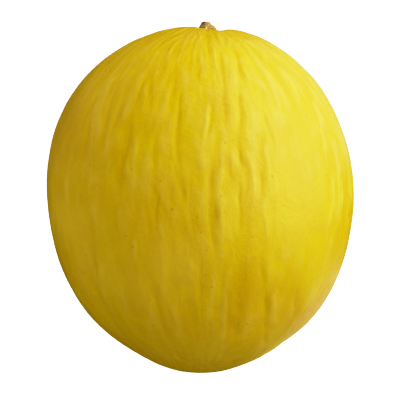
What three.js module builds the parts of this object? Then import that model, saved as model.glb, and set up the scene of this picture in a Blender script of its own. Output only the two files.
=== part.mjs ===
// A canary melon, standing upright on the small flat spot at its blossom end.
//
// Units are millimetres and +Z is up. The origin is the middle of the flat spot.
// A turn is an angle round the fruit, from the front (-Y) towards the right (+X).
import * as THREE from 'three';

// ---- Driving dimensions ----

// The fruit's outline: a rounded dome above its widest level, and a longer nose below it.
const FRUIT_RADIUS = 75;
const DOME_HEIGHT = 81.3;
const DOME_POWER = 2.1; // 2 is an ellipse, and more has squarer shoulders
const NOSE_LENGTH = 89;
const REST_RADIUS = 12; // of the flat spot

// Just above the flat spot the flanks are drawn in a little.
const PINCH_DEPTH = 3.8;
const PINCH_LEVEL = 4.8;
const PINCH_REACH = 15;

// How far the fruit's middle line leans to the right at each height.
const LEAN = [
  { height: 0, shift: 0 },
  { height: 12, shift: 0.9 },
  { height: 60, shift: 0.4 },
  { height: 130, shift: -0.8 },
];

// The crown: the stalk grew to the right of the middle line, in the left part of a shallow dimple.
const CROWN_SHIFT = 4;
const CROWN_SHIFT_REACH = 30;
const CROWN_SLOPE = THREE.MathUtils.degToRad(3);
const CROWN_SLOPE_REACH = 25;
const DIMPLE_DEPTH = 2.4;
const DIMPLE_REACH = 9;
const DIMPLE_SHIFT = 3; // from the stalk's middle to the right

// The cross-section isn't quite round: three seed chambers, and ten faint ribs over the main veins.
const CHAMBERS = { count: 3, height: 0.45, turn: 0.4 };
const RIBS = { count: 10, height: 0.2, turn: 0.15 };
const ROUND_FOOT_HEIGHT = 20; // below it the chambers and ribs fade out

// The broadest furrows and ridges of the rind. Turns and widths are in degrees, the rest in millimetres.
// A negative depth is a ridge. A furrow runs from turn - drift, at its low height, to turn + drift.
const FURROWS = [
  { turn: 17, low: 100, high: 160, depth: 0.7, width: 4, drift: 4 },
  { turn: 4, low: 58, high: 118, depth: 0.8, width: 4, drift: 1 },
  { turn: 22, low: 76, high: 120, depth: 0.7, width: 4, drift: 1 },
  { turn: 10, low: 62, high: 116, depth: -0.5, width: 3.5, drift: 1 },
  { turn: 18, low: 82, high: 112, depth: -0.4, width: 3.5, drift: 1 },
  { turn: 28, low: 116, high: 138, depth: 0.5, width: 4, drift: -1 },
  { turn: 10, low: 118, high: 146, depth: 0.5, width: 4, drift: 1 },
  { turn: -7, low: 86, high: 142, depth: 0.7, width: 4, drift: -2 },
  { turn: -29, low: 90, high: 124, depth: 0.6, width: 4.5, drift: 2 },
  { turn: -11, low: 40, high: 88, depth: 0.6, width: 4.5, drift: 0 },
  { turn: -44, low: 38, high: 88, depth: 0.6, width: 5, drift: 6 },
  { turn: 30, low: 18, high: 62, depth: 0.6, width: 5, drift: -8 },
  { turn: 6, low: 28, high: 58, depth: 0.5, width: 4.5, drift: 0 },
  { turn: 55, low: 74, high: 134, depth: -0.6, width: 4.5, drift: 1 },
  { turn: 84, low: 60, high: 140, depth: 0.7, width: 6, drift: 4 },
  { turn: 118, low: 40, high: 120, depth: 0.8, width: 6, drift: -5 },
  { turn: 150, low: 70, high: 150, depth: 0.7, width: 6, drift: 6 },
  { turn: 178, low: 30, high: 110, depth: 0.8, width: 6, drift: 4 },
  { turn: 212, low: 60, high: 145, depth: 0.7, width: 6, drift: -5 },
  { turn: 246, low: 35, high: 105, depth: 0.8, width: 6, drift: 3 },
  { turn: 282, low: 70, high: 150, depth: 0.6, width: 6, drift: -4 },
];
const FURROW_FADE = 0.75; // the share of a furrow's half length over which it fades out

// The dry stalk stub: a lumpy, tapered peg that leans a little to the left.
const STALK_FOOT_RADIUS = 4.5;
const STALK_TIP_RADIUS = 1.8;
const STALK_HEIGHT = 3.5;
const STALK_LEAN = -0.4;
const STALK_RIDGES = { count: 5, share: 0.07 };
const STALK_TAPER = 1.3; // 1 is a straight cone, and more keeps the foot wide for longer
const STALK_CROWN = 0.4; // how far its blunt top is domed
const STALK_GAP = 0.3; // between the stub's foot and the skin of the dimple

// How finely the two solids are divided.
const FRUIT_TURNS = 108;
const FRUIT_RINGS = 46;
const STALK_TURNS = 24;
const STALK_RINGS = 8;

// ---- The fruit's skin ----

const bell = (distance, reach) => Math.exp(-((distance / reach) ** 2));
const PINCH_AT_REST = PINCH_DEPTH * bell(PINCH_LEVEL, PINCH_REACH);
const FOOT_ANGLE = Math.acos((REST_RADIUS + PINCH_AT_REST) / FRUIT_RADIUS);
const WIDEST_LEVEL = NOSE_LENGTH * Math.sin(FOOT_ANGLE);

// The outline at an angle: -FOOT_ANGLE is the rim of the flat spot, 0 the widest level, 90 degrees the crown.
function outline(angle) {
  if (angle < 0) {
    const height = WIDEST_LEVEL - NOSE_LENGTH * Math.sin(-angle);
    const pinch = PINCH_DEPTH * bell(height - PINCH_LEVEL, PINCH_REACH);
    return { radius: FRUIT_RADIUS * Math.cos(angle) - pinch, height };
  }
  const power = 2 / DOME_POWER;
  return {
    radius: FRUIT_RADIUS * Math.max(Math.cos(angle), 0) ** power,
    height: WIDEST_LEVEL + DOME_HEIGHT * Math.sin(angle) ** power,
  };
}

// The lean of the middle line, easing from one listed height to the next.
function leanAt(height) {
  const next = LEAN.findIndex((stop) => stop.height >= height);
  if (next === 0) return LEAN[0].shift;
  if (next < 0) return LEAN[LEAN.length - 1].shift;
  const from = LEAN[next - 1];
  const to = LEAN[next];
  const share = THREE.MathUtils.smoothstep(height, from.height, to.height);
  return THREE.MathUtils.lerp(from.shift, to.shift, share);
}

// How far one furrow sinks the skin at a turn and a height.
function furrowDepth(furrow, turn, height) {
  const middle = (furrow.low + furrow.high) / 2;
  const half = (furrow.high - furrow.low) / 2;
  const along = (height - middle) / half;
  const centre = THREE.MathUtils.degToRad(furrow.turn + furrow.drift * along);
  const away = Math.atan2(Math.sin(turn - centre), Math.cos(turn - centre));
  return furrow.depth * bell(away, THREE.MathUtils.degToRad(furrow.width)) * bell(along, FURROW_FADE);
}

// What the chambers, ribs and furrows add to the radius. They fade out towards both ends.
function relief(turn, height, fade) {
  const chambers = CHAMBERS.height * Math.cos(CHAMBERS.count * (turn - CHAMBERS.turn));
  const ribs = RIBS.height * Math.cos(RIBS.count * (turn - RIBS.turn));
  const furrows = FURROWS.reduce((sum, furrow) => sum + furrowDepth(furrow, turn, height), 0);
  return fade * (chambers + ribs) - furrows;
}

// How far the sloping crown and its dimple move the skin up, at a distance from the stalk.
function crownRise(radius, turn) {
  const right = radius * Math.sin(turn);
  const slope = -Math.tan(CROWN_SLOPE) * right * bell(radius, CROWN_SLOPE_REACH);
  const fromDimple = Math.hypot(right - DIMPLE_SHIFT, radius * Math.cos(turn));
  return slope - DIMPLE_DEPTH * bell(fromDimple, DIMPLE_REACH);
}

// A point of the skin at a turn and an outline angle.
function skinPoint(turn, angle) {
  const { radius, height } = outline(angle);
  const fade = Math.cos(angle) ** 2 * THREE.MathUtils.smoothstep(height, 0, ROUND_FOOT_HEIGHT);
  const away = radius + relief(turn, height, fade);
  const crown = angle > 0 ? 1 : 0;
  const middle = leanAt(height) + crown * CROWN_SHIFT * bell(radius, CROWN_SHIFT_REACH);
  return new THREE.Vector3(
    middle + away * Math.sin(turn),
    -away * Math.cos(turn),
    height + crown * crownRise(radius, turn),
  );
}

// ---- Closed solids from rings of points ----

// Joins rings of points, listed from the bottom up, and closes both ends with a fan to a middle point.
function ringSolid(rings, bottom, top) {
  const turns = rings[0].length;
  const points = [bottom, ...rings.flat(), top];
  const index = [];
  const at = (ring, turn) => 1 + ring * turns + (turn % turns);
  for (let turn = 0; turn < turns; turn += 1) {
    index.push(0, at(0, turn + 1), at(0, turn));
    for (let ring = 0; ring + 1 < rings.length; ring += 1) {
      index.push(at(ring, turn), at(ring, turn + 1), at(ring + 1, turn + 1));
      index.push(at(ring, turn), at(ring + 1, turn + 1), at(ring + 1, turn));
    }
    index.push(points.length - 1, at(rings.length - 1, turn), at(rings.length - 1, turn + 1));
  }
  const geometry = new THREE.BufferGeometry().setFromPoints(points);
  geometry.setIndex(index);
  geometry.computeVertexNormals();
  return geometry;
}

// The turns of one ring's points, evenly round the axis.
const turnsOfRing = (count) => Array.from({ length: count }, (_, i) => (i / count) * Math.PI * 2);

// ---- The pieces ----

function fruitGeometry() {
  const rings = [];
  for (let ring = 0; ring < FRUIT_RINGS; ring += 1) {
    const angle = THREE.MathUtils.lerp(-FOOT_ANGLE, Math.PI / 2, ring / FRUIT_RINGS);
    rings.push(turnsOfRing(FRUIT_TURNS).map((turn) => skinPoint(turn, angle)));
  }
  rings[0].forEach((point) => point.setZ(0));
  return ringSolid(rings, new THREE.Vector3(0, 0, 0), skinPoint(0, Math.PI / 2));
}

// The crown's height at a small distance from the stalk, where the dome is almost flat.
function crownHeight(radius, turn) {
  const share = (1 - (radius / FRUIT_RADIUS) ** DOME_POWER) ** (1 / DOME_POWER);
  return WIDEST_LEVEL + DOME_HEIGHT * share + crownRise(radius, turn);
}

function stalkGeometry() {
  const middle = skinPoint(0, Math.PI / 2);
  const rings = [];
  for (let ring = 0; ring <= STALK_RINGS; ring += 1) {
    const up = ring / STALK_RINGS;
    const radius = THREE.MathUtils.lerp(STALK_FOOT_RADIUS, STALK_TIP_RADIUS, up ** STALK_TAPER);
    rings.push(turnsOfRing(STALK_TURNS).map((turn) => {
      const ridge = 1 + STALK_RIDGES.share * Math.cos(STALK_RIDGES.count * turn + up);
      const foot = crownHeight(radius * ridge, turn) + STALK_GAP;
      const height = THREE.MathUtils.lerp(foot, middle.z + STALK_GAP, up) + STALK_HEIGHT * up;
      return new THREE.Vector3(
        middle.x + STALK_LEAN * up + radius * ridge * Math.sin(turn),
        middle.y - radius * ridge * Math.cos(turn),
        height,
      );
    }));
  }
  const bottom = middle.clone().setZ(middle.z + STALK_GAP);
  const tip = middle.z + STALK_GAP + STALK_HEIGHT + STALK_CROWN;
  const top = new THREE.Vector3(middle.x + STALK_LEAN, middle.y, tip);
  return ringSolid(rings, bottom, top);
}

// ---- Finishes ----

const rind = new THREE.MeshStandardMaterial({ color: 0xe0c020, roughness: 0.45, metalness: 0 });
const dryStalk = new THREE.MeshStandardMaterial({ color: 0xa07c42, roughness: 0.85, metalness: 0 });

// ---- The melon ----

function namedMesh(name, geometry, material) {
  const mesh = new THREE.Mesh(geometry, material);
  mesh.name = name;
  return mesh;
}

const melon = new THREE.Group();
melon.add(namedMesh('melon_fruit', fruitGeometry(), rind));
melon.add(namedMesh('stalk_stub', stalkGeometry(), dryStalk));

export default melon;
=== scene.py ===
# %% [markdown]
# # A canary melon, standing on its blossom end
#
# A canary melon is a winter melon with a waxy, bright yellow rind. It has no net and no deep ribs. Its skin
# lies in shallow lengthwise folds, which run together in fine pleats round the stalk. When the fruit is
# ripe the stalk lets go, and only a short corky stub stays in a dimple at the crown.
#
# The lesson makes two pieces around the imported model: the fruit and the stub. Each is built as rings of
# points from a formula, because a formula gives even faces and lets every fold follow the fruit from end
# to end. The finishes are node materials that read the same lengthwise coordinates as the folds.

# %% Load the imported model
import math

import bpy
import numpy as np
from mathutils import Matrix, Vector


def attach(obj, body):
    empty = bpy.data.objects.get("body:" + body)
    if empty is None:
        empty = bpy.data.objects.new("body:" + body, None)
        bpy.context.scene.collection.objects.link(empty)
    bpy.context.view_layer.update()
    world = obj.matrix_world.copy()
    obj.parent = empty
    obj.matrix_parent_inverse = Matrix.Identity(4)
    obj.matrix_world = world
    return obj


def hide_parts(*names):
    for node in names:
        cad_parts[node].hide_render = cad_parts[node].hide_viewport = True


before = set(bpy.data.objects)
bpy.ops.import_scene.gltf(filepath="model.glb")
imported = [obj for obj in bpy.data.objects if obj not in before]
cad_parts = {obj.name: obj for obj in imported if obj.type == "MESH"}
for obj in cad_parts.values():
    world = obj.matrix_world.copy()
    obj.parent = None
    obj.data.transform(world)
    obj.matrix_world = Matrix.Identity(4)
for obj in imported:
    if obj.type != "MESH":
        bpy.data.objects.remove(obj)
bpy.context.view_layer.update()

MM = 0.001  # Blender works in metres, and the forms below are worked out in millimetres


# %% [markdown]
# ## The fruit's outline
#
# Seen from the side, the real fruit is a rounded dome above its widest level and a longer nose below it,
# drawn in a little just above the flat spot that it rests on. A squashed sphere would give neither the full
# shoulders nor the drawn-in nose, so the outline is two joined curves: a dome a little squarer than an
# ellipse, and half an ellipse with a soft pinch. These are the same few sizes that the solid model has.

# %% The outline's sizes
FRUIT_RADIUS = 75.0
DOME_HEIGHT = 81.3
DOME_POWER = 2.1  # 2 is an ellipse, and more has squarer shoulders
NOSE_LENGTH = 89.0
REST_RADIUS = 12.0  # of the flat spot
PINCH_DEPTH = 3.8
PINCH_LEVEL = 4.8
PINCH_REACH = 15.0


def bell(distance, reach):
    """1 at no distance, falling smoothly to nothing well past the reach."""
    return np.exp(-((distance / reach) ** 2))


FOOT_ANGLE = math.acos((REST_RADIUS + PINCH_DEPTH * bell(PINCH_LEVEL, PINCH_REACH)) / FRUIT_RADIUS)
WIDEST_LEVEL = NOSE_LENGTH * math.sin(FOOT_ANGLE)
print(f"widest at {WIDEST_LEVEL:.1f} mm, crown at {WIDEST_LEVEL + DOME_HEIGHT:.1f} mm")


# %% The outline as a path
def outline(angle):
    """Radius and height at an angle, which is 0 at the widest level and 90 degrees at the crown."""
    power = 2 / DOME_POWER
    up = np.clip(angle, 0, math.pi / 2)
    down = np.clip(-angle, 0, FOOT_ANGLE)
    dome_radius = FRUIT_RADIUS * np.maximum(np.cos(up), 0) ** power
    dome_height = WIDEST_LEVEL + DOME_HEIGHT * np.sin(up) ** power
    nose_height = WIDEST_LEVEL - NOSE_LENGTH * np.sin(down)
    nose_radius = FRUIT_RADIUS * np.cos(down) - PINCH_DEPTH * bell(nose_height - PINCH_LEVEL, PINCH_REACH)
    above = angle >= 0
    return np.where(above, dome_radius, nose_radius), np.where(above, dome_height, nose_height)


def length_along(radius, height):
    """How far each point of a path is from its start, measured along it."""
    return np.cumsum(np.hypot(np.diff(radius, prepend=0), np.diff(height, prepend=0)))


def even_path(steps, fineness=4000, rim_softness=1.6, rim_reach=6.0):
    """The outline from the flat spot's middle to the crown, as evenly spaced radii, heights and lengths."""
    radius, height = outline(np.linspace(-FOOT_ANGLE, math.pi / 2, fineness))
    flat = np.linspace(0, REST_RADIUS, fineness // 20)[:-1]
    radius, height = np.append(flat, radius), np.append(flat * 0, height)
    length = length_along(radius, height)
    fine = np.linspace(0, length[-1], fineness)
    radius, height = np.interp(fine, length, radius), np.interp(fine, length, height)
    # The rim of the flat spot is softened, because skin under a weight rolls over and has no edge.
    spacing = fine[1]
    reach = int(3 * rim_softness / spacing)
    kernel = bell(np.arange(-reach, reach + 1) * spacing, rim_softness)
    soft = np.convolve(np.pad(height, reach, mode="edge"), kernel / kernel.sum(), mode="valid")
    near_rim = bell(fine - REST_RADIUS, rim_reach)
    height = height * (1 - near_rim) + soft * near_rim
    even = np.linspace(0, fine[-1], steps)
    return np.interp(even, fine, radius), np.interp(even, fine, height), even


path_radius, path_height, path_length = even_path(5)
print("five stops on the outline, mm:", list(zip(path_radius.round(1), path_height.round(1))))

# %% [markdown]
# ## The middle line and the crown
#
# No fruit grows straight. This one's middle line leans a millimetre or so to each side on its way up, and
# the stalk sits to the right of the middle, in a shallow dimple on a crown that slopes gently down to the
# right. A bend modifier could lean the finished mesh, but it would lean the folds' heights too. Moving each
# ring as it is made keeps every height where it was measured.

# %% The lean, the slope and the dimple
LEAN_HEIGHTS = [0, 12, 60, 130]
LEAN_SHIFTS = [0, 0.9, 0.4, -0.8]
CROWN_SHIFT = 4.0
CROWN_SHIFT_REACH = 30.0
CROWN_SLOPE = math.radians(3)
CROWN_SLOPE_REACH = 25.0
DIMPLE_DEPTH = 2.4
DIMPLE_REACH = 9.0
DIMPLE_SHIFT = 2.8  # from the stalk's middle to the right
LIP_HEIGHT = 0.66  # how much the dimple's rim swells to the left and right of the stalk
LIP_DROP = 0.35  # and the share of that by which it sinks in front and behind
LIP_RADIUS = 7.6
LIP_REACH = 4.6


def smooth_step(value, low, high):
    """0 below low, 1 above high, and an easy curve between."""
    share = np.clip((value - low) / (high - low), 0, 1)
    return share * share * (3 - 2 * share)


def lean_at(height):
    """How far the middle line stands to the right at a height."""
    shift = np.full_like(height, LEAN_SHIFTS[0])
    stops = list(zip(LEAN_HEIGHTS, LEAN_SHIFTS))
    for (low, before), (high, after) in zip(stops, stops[1:]):
        shift = shift + (after - before) * smooth_step(height, low, high)
    return shift


def crown_rise(radius, turn):
    """How far the sloping crown and its dimple move the skin up, at a distance from the stalk."""
    right = radius * np.sin(turn)
    slope = -math.tan(CROWN_SLOPE) * right * bell(radius, CROWN_SLOPE_REACH)
    from_dimple = np.hypot(right - DIMPLE_SHIFT, radius * np.cos(turn))
    sideways = ((right - DIMPLE_SHIFT) / np.maximum(from_dimple, 0.1)) ** 2
    lip = LIP_HEIGHT * ((1 + LIP_DROP) * sideways - LIP_DROP) * bell(from_dimple - LIP_RADIUS, LIP_REACH)
    return slope + lip - DIMPLE_DEPTH * bell(from_dimple, DIMPLE_REACH)


stalk_x = LEAN_SHIFTS[-1] + CROWN_SHIFT
print(f"the stalk stands {stalk_x:.1f} mm right of the flat spot's middle")

# %% [markdown]
# ## Noise that follows the fruit
#
# Folds in a rind run lengthwise, close on themselves round the fruit and crowd together at both ends.
# Ready-made noise textures know nothing of that. So this helper lays its random slopes on a grid of turns
# and lengths that joins up round the fruit, and blends between them as gradient noise does.

# %% Noise on turns and lengths
NOISE_GAIN = 1.5  # gradient noise seldom passes two thirds of its range


def rind_noise(turn, length, cells, cell_length, seed):
    """Gradient noise of about -1 to 1, with a whole number of cells round the fruit."""
    rng = np.random.default_rng(seed)
    rows = int(path_length[-1] / cell_length) + 3
    direction = rng.uniform(0, 2 * math.pi, (cells, rows))
    across, along = turn / (2 * math.pi) * cells, length / cell_length + 0.5
    column, row = np.floor(across).astype(int), np.clip(np.floor(along).astype(int), 0, rows - 2)
    dx, dy = across - column, along - row

    def corner(i, j):
        angle = direction[(column + i) % cells, row + j]
        return np.cos(angle) * (dx - i) + np.sin(angle) * (dy - j)

    ease_x, ease_y = (6 * d**5 - 15 * d**4 + 10 * d**3 for d in (dx, dy))
    low = corner(0, 0) * (1 - ease_x) + corner(1, 0) * ease_x
    high = corner(0, 1) * (1 - ease_x) + corner(1, 1) * ease_x
    return (low * (1 - ease_y) + high * ease_y) * NOISE_GAIN


def noise_sum(turn, length, rows):
    """Several noises in one. Each row: cells round the fruit, cell length in mm, amount, seed."""
    return sum(amount * rind_noise(turn, length, cells, size, seed) for cells, size, amount, seed in rows)


sample = rind_noise(np.linspace(0, 2 * math.pi, 999), np.full(999, 100.0), 40, 30.0, seed=1)
print(f"noise runs from {sample.min():.2f} to {sample.max():.2f}")

# %% Places on the rind
def angle_from(turn, centre):
    """The angle from centre to turn, the short way round, in radians."""
    offset = turn - centre
    return np.arctan2(np.sin(offset), np.cos(offset))


def area(turn, height, centre, middle, reach, tall):
    """1 in the middle of a soft-edged area of the rind, and 0 well outside it, in degrees and mm."""
    away = np.degrees(angle_from(turn, math.radians(centre)))
    return bell(away, reach) * bell(height - middle, tall)


def one_side(turn, centre, reach):
    """1 at a turn, fading round it, in degrees. It counts only on its own side of the front."""
    return bell(np.degrees(turn - 2 * math.pi if centre < 0 else turn) - centre, reach)


# %% [markdown]
# ## The folds
#
# Five kinds of relief lie on the rind. The folds that give this fruit its face are listed, each as a few
# stops that say at which height it passes which turn. The far side gets folds of the same kind, drawn at
# random from a fixed seed. Between them lie smaller wrinkles and lumps, which nobody would place one by one,
# so noise makes them. Thin ribs stand side by side where the right side turns away, and pleats run in to the
# stalk.
#
# A sculpted fold could be pushed in with a brush, but a row of numbers can be read, moved and drawn again
# at any density of mesh. A positive depth is a hollow, and a negative one is a ridge.

# %% The listed folds
# Each row: depth in mm, width in mm, then (height in mm, turn in degrees) stops from the bottom up. A turn
# is counted from the front towards the right.
HAND_SET_FOLDS = [
    # in the middle
    (0.38, 2.1, (126, 15.6), (132, 16.6), (138, 17.4), (147, 19.6), (156, 20.8)),
    (0.24, 1.8, (104, 14.8), (114, 14.2), (122, 15)),
    (-0.36, 1.4, (108, 0.8), (116, 1.4), (124, 2.4), (130, 3.2)),
    (0.34, 1.7, (124, 15.4), (131, 16.3), (138, 17.2)),
    (0.32, 1.6, (118, 2.2), (124, 4), (131, 5)),
    (0.34, 2.4, (60, 5), (70, 3.8), (78, 3.3), (86, 3.4), (95, 3), (101, 3.4), (108, 5.2), (115, 6.2)),
    (0.16, 1.3, (82.5, 4.9), (86.5, 4.8)),
    (-0.32, 2.3, (66, 7.2), (80, 7), (92, 7), (100, 7.4), (107, 7.8), (114, 8.8)),
    (0.14, 1.1, (97, 10.6), (104, 10.2), (111, 10.6)),
    (-0.2, 1.4, (98, 12), (105, 11.8), (112, 12.6)),
    (0.26, 1, (106, 14.2), (113, 14.5)),
    (0.8, 1.2, (80, 13.7), (87, 13.5), (95, 13.2)),
    (0.34, 1.6, (92, 15.2), (98, 16), (102, 16.2), (107, 15.2)),
    (-0.34, 2, (84, 16.8), (90, 17.8), (98, 18.6), (104, 18.6), (109, 17.8)),
    (0.46, 1.9, (91, 20.9), (98, 21.4), (104, 21.6), (110, 22.4), (117, 23.2)),
    (-0.21, 1.4, (99, 24.2), (111, 24.3)),
    (0.18, 1.2, (100, 25.6), (110, 25.9)),
    (0.34, 1.5, (118, 27.4), (125, 26.6), (134, 27)),
    (0.24, 1.8, (62, 12.6), (70, 11.4), (80, 11)),
    (-0.26, 1.6, (74, 23.6), (80, 22.6), (87, 21.8)),
    (0.15, 1.6, (74, 25.9), (84, 25.4)),
    (-0.18, 1.5, (60, 16.9), (68, 16.3)),
    # on the crown and the left
    (0.26, 1.8, (124, 10), (130, 10.2), (138, 10.8)),
    (0.24, 1.1, (145, -1), (152, -1.2)),
    (0.2, 1.6, (139, -4.4), (147, -5.2)),
    (0.3, 2.1, (149, 5.2), (156, 4.9), (163, 4.8)),
    (-0.22, 1.6, (150, 8.6), (160, 9.2)),
    (0.26, 1.6, (148, 12.2), (155, 12.8)),
    (0.22, 1.6, (150, 27), (155, 27.6)),
    (0.48, 2.2, (88, -5.4), (94, -6.2), (100, -7), (106, -7.8), (114, -8.5), (122, -8.7)),
    (0.46, 1.7, (122, -8.8), (129, -8.6), (135, -8.3)),
    (0.74, 3.4, (95, -30), (101, -30), (107, -29.6), (114, -28.7), (121, -28)),
    (0.34, 1.7, (98, -29.2), (110, -28.4), (119, -27.4)),
    (-0.24, 1.6, (108, -24.6), (116, -24.2)),
    (-0.24, 2, (95, -24.2), (103, -24.4)),
    (0.44, 1.9, (134, -27.6), (139, -27.2), (144, -27)),
    (-0.36, 1.6, (141, -22), (148, -22.6)),
    (-0.3, 1.5, (130, -23.8), (134.5, -24), (140, -25.2)),
    (0.2, 1.5, (130, -20.9), (138, -21.8)),
    (0.3, 1.6, (133, -17.4), (139, -17.2)),
    (0.28, 1.6, (150, -13.6), (157, -14.4)),
    (0.2, 1.6, (149, -5.6), (157, -5.4)),
    (-0.2, 2, (152, -18.8), (159, -21.2)),
    (0.38, 2.2, (119, -35.8), (124, -35), (129, -34.4)),
    (0.22, 1.8, (130, -50.6), (139, -51.4)),
    (-0.38, 2.2, (131, -46.6), (138, -47), (146, -47.6)),
    (0.4, 2.4, (108, -47.2), (113, -47.5), (119, -48.2)),
    (0.3, 1.4, (144, -59), (149, -61)),
    (-0.3, 3, (86, -56.5), (100, -56.8)),
    # low down
    (0.36, 1.1, (82, -16), (91, -15.2)),
    (0.45, 3, (44, -11.8), (52, -11), (60, -11), (72, -11.2)),
    (-0.3, 2, (50, -14.6), (62, -14.2), (78, -14.2)),
    (0.88, 2.9, (43, -48.4), (50, -47.2), (57, -45.6), (64, -44.2), (72, -43.2)),
    (-0.62, 2.6, (42, -44.6), (50, -42.6), (58, -40.8)),
    (0.35, 2.2, (73, -31), (80, -31.8), (88, -32.6)),
    (-0.33, 2.2, (76, -41.4), (84, -41.8)),
    (0.35, 1.8, (26, -19.8), (38, -18.9), (47, -18.2)),
    (-0.33, 1.4, (35, -23.2), (43, -20.9)),
    (-0.3, 1.9, (62, -25.6), (70, -24.8)),
    (0.3, 1.9, (38, -0.1), (48, -0.4), (58, -0.7), (66, -1)),
    (-0.3, 1.8, (60, -4.2), (68, -5.4)),
    (0.3, 1.9, (36, 6.8), (44, 7), (54, 7.6)),
    (-0.28, 1.8, (36, 3.4), (44, 3.9), (52, 4.4)),
    (0.46, 3.4, (20, 16.4), (36, 14.8), (52, 14)),
    (-0.36, 1.6, (12, 10.8), (28, 9.6), (46, 8.6)),
    (0.53, 2.4, (19, 38.5), (23, 34.6), (28, 31.6), (33, 29.4), (38, 27.8), (45, 26), (52, 24),
     (60, 22.3)),
    (-0.38, 3.2, (28, 38), (33, 34.6), (38, 32), (44, 30.2)),
    (0.4, 2.2, (34, 45.8), (38, 43.6), (44, 41.6)),
    (0.2, 1.2, (62, 26.2), (67, 28.8)),
    # on the right
    (-0.56, 2, (104, 53.4), (110, 54), (118, 55.2), (126, 57), (132, 58)),
    (-0.44, 2, (76, 53.2), (84, 54.9), (90, 56), (99, 56.4)),
    (-0.32, 1.4, (140, 49.4), (147, 49)),
    (-0.3, 1.4, (131, 53.4), (137, 53)),
    (0.32, 1.6, (86, 58.9), (98, 59.3)),
    (-0.37, 1.7, (76, 62.6), (92, 64.8)),
    (0.37, 1.8, (78, 68.8), (95, 70.2)),
    (-0.41, 2, (74, 73), (93, 73.8)),
    (0.39, 2, (60, 79), (128, 78)),
]
print(len(HAND_SET_FOLDS), "folds set by hand")


# %% The folds of the far side
FAR_FOLDS = 110
FAR_TURNS = (96, 268)  # from the right side round the back to the left side, in degrees
FAR_STARTS = (16, 138)  # the height of a fold's lower end
FAR_LENGTHS = (12, 46)
FAR_TOP = 160  # where the last of them ends
FAR_DEPTHS = (0.20, 0.52)
FAR_WIDTHS = (1.2, 2.6)
FAR_SIGNS = [1, 1, -0.8]  # two of three are hollows, and the third is a somewhat lower ridge
FAR_TILT, FAR_BOW = 1.6, 1.2  # how much they usually lean and bend, in degrees


def far_side_folds():
    """Rows like the ones above, at random places."""
    rng = np.random.default_rng(7)
    rows = []
    for _ in range(FAR_FOLDS):
        low = rng.uniform(*FAR_STARTS)
        high = min(low + rng.uniform(*FAR_LENGTHS), FAR_TOP)
        turn, tilt, bow = rng.uniform(*FAR_TURNS), rng.normal(0, FAR_TILT), rng.normal(0, FAR_BOW)
        depth = rng.uniform(*FAR_DEPTHS) * rng.choice(FAR_SIGNS)
        stops = [(low, turn - tilt), ((low + high) / 2, turn + bow), (high, turn + tilt)]
        rows.append((depth, rng.uniform(*FAR_WIDTHS), *stops))
    return rows


# %% From stops to relief
FOLD_SHAKE = [(26, 15.0, 0.6, 51), (64, 7.0, 0.5, 52)]  # how far a fold strays from its line, in mm
FOLD_MEAN, FOLD_SWING = 0.74, 0.66  # its depth comes and goes along its way
FOLD_FADE = 4.0  # how far it runs on past its first and last stop
CREASE_SHARE = 0.4  # of its depth is a crease half as wide
MOST_BENDS = 4


def fold_relief(turn, height, length, radius, rows):
    """What a list of folds adds to the skin, in mm."""
    relief = np.zeros_like(turn)
    turn = turn + noise_sum(turn, length, FOLD_SHAKE) / np.maximum(radius, 10)
    unsteady = FOLD_MEAN + FOLD_SWING * rind_noise(turn, length, 40, 8.0, seed=53)
    for depth, width, *stops in rows:
        heights, turns = zip(*stops)
        low, high = heights[0], heights[-1]
        line = np.polynomial.Polynomial.fit(heights, turns, min(len(stops) - 1, MOST_BENDS))
        at = np.clip(height, low - FOLD_FADE, high + FOLD_FADE)
        away = angle_from(turn, np.radians(line(at))) * radius
        across = (1 - CREASE_SHARE) * bell(away, width) + CREASE_SHARE * bell(away, width / 2)
        along = (2 * height - low - high) / (high - low + FOLD_FADE)
        relief -= depth * across * np.exp(-(along**4))
    return relief * unsteady


# %% The wrinkles and lumps between them
# Each row: cells round the fruit, cell length in mm, height in mm.
WRINKLES = [(24, 40.0, 0.34), (46, 28.0, 0.33), (84, 16.0, 0.20), (140, 10.0, 0.13), (230, 7.0, 0.08)]
LUMPS = [(44, 12.0, 0.11), (80, 7.0, 0.07), (130, 4.4, 0.035)]
HOLLOW_BIAS = 0.5  # hollows are deepened and tops lowered by this share
WANDER = [(12, 34.0, 0.050, 3), (30, 18.0, 0.022, 4), (60, 8.0, 0.012, 6)]  # of the wrinkles, in radians
# Each row: turn in degrees, height in mm, reach in degrees and in mm, how much calmer.
QUIET_AREAS = [
    (41, 104, 14, 42, 0.80), (8, 105, 24, 60, 0.45), (-46, 60, 26, 60, 0.40), (-5, 30, 60, 34, 0.25),
    (-80, 90, 26, 70, 0.60), (-20, 160, 70, 10, 0.40),
]


def quiet(turn, height):
    """What is left of the wrinkles: more on the left shoulder, less on the smooth cheek and low down."""
    share = 1 + 0.5 * one_side(turn, -38, 26) * bell(height - 132, 30)
    for *where, calmer in QUIET_AREAS:
        share = share * (1 - calmer * area(turn, height, *where))
    return share


def room(radius, cells, narrow=0.8, wide=2.4):
    """0 near the fruit's ends, where the cells of a noise get too narrow in mm, and 1 where they are wide."""
    return smooth_step(2 * math.pi * radius / cells, narrow, wide)


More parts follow.
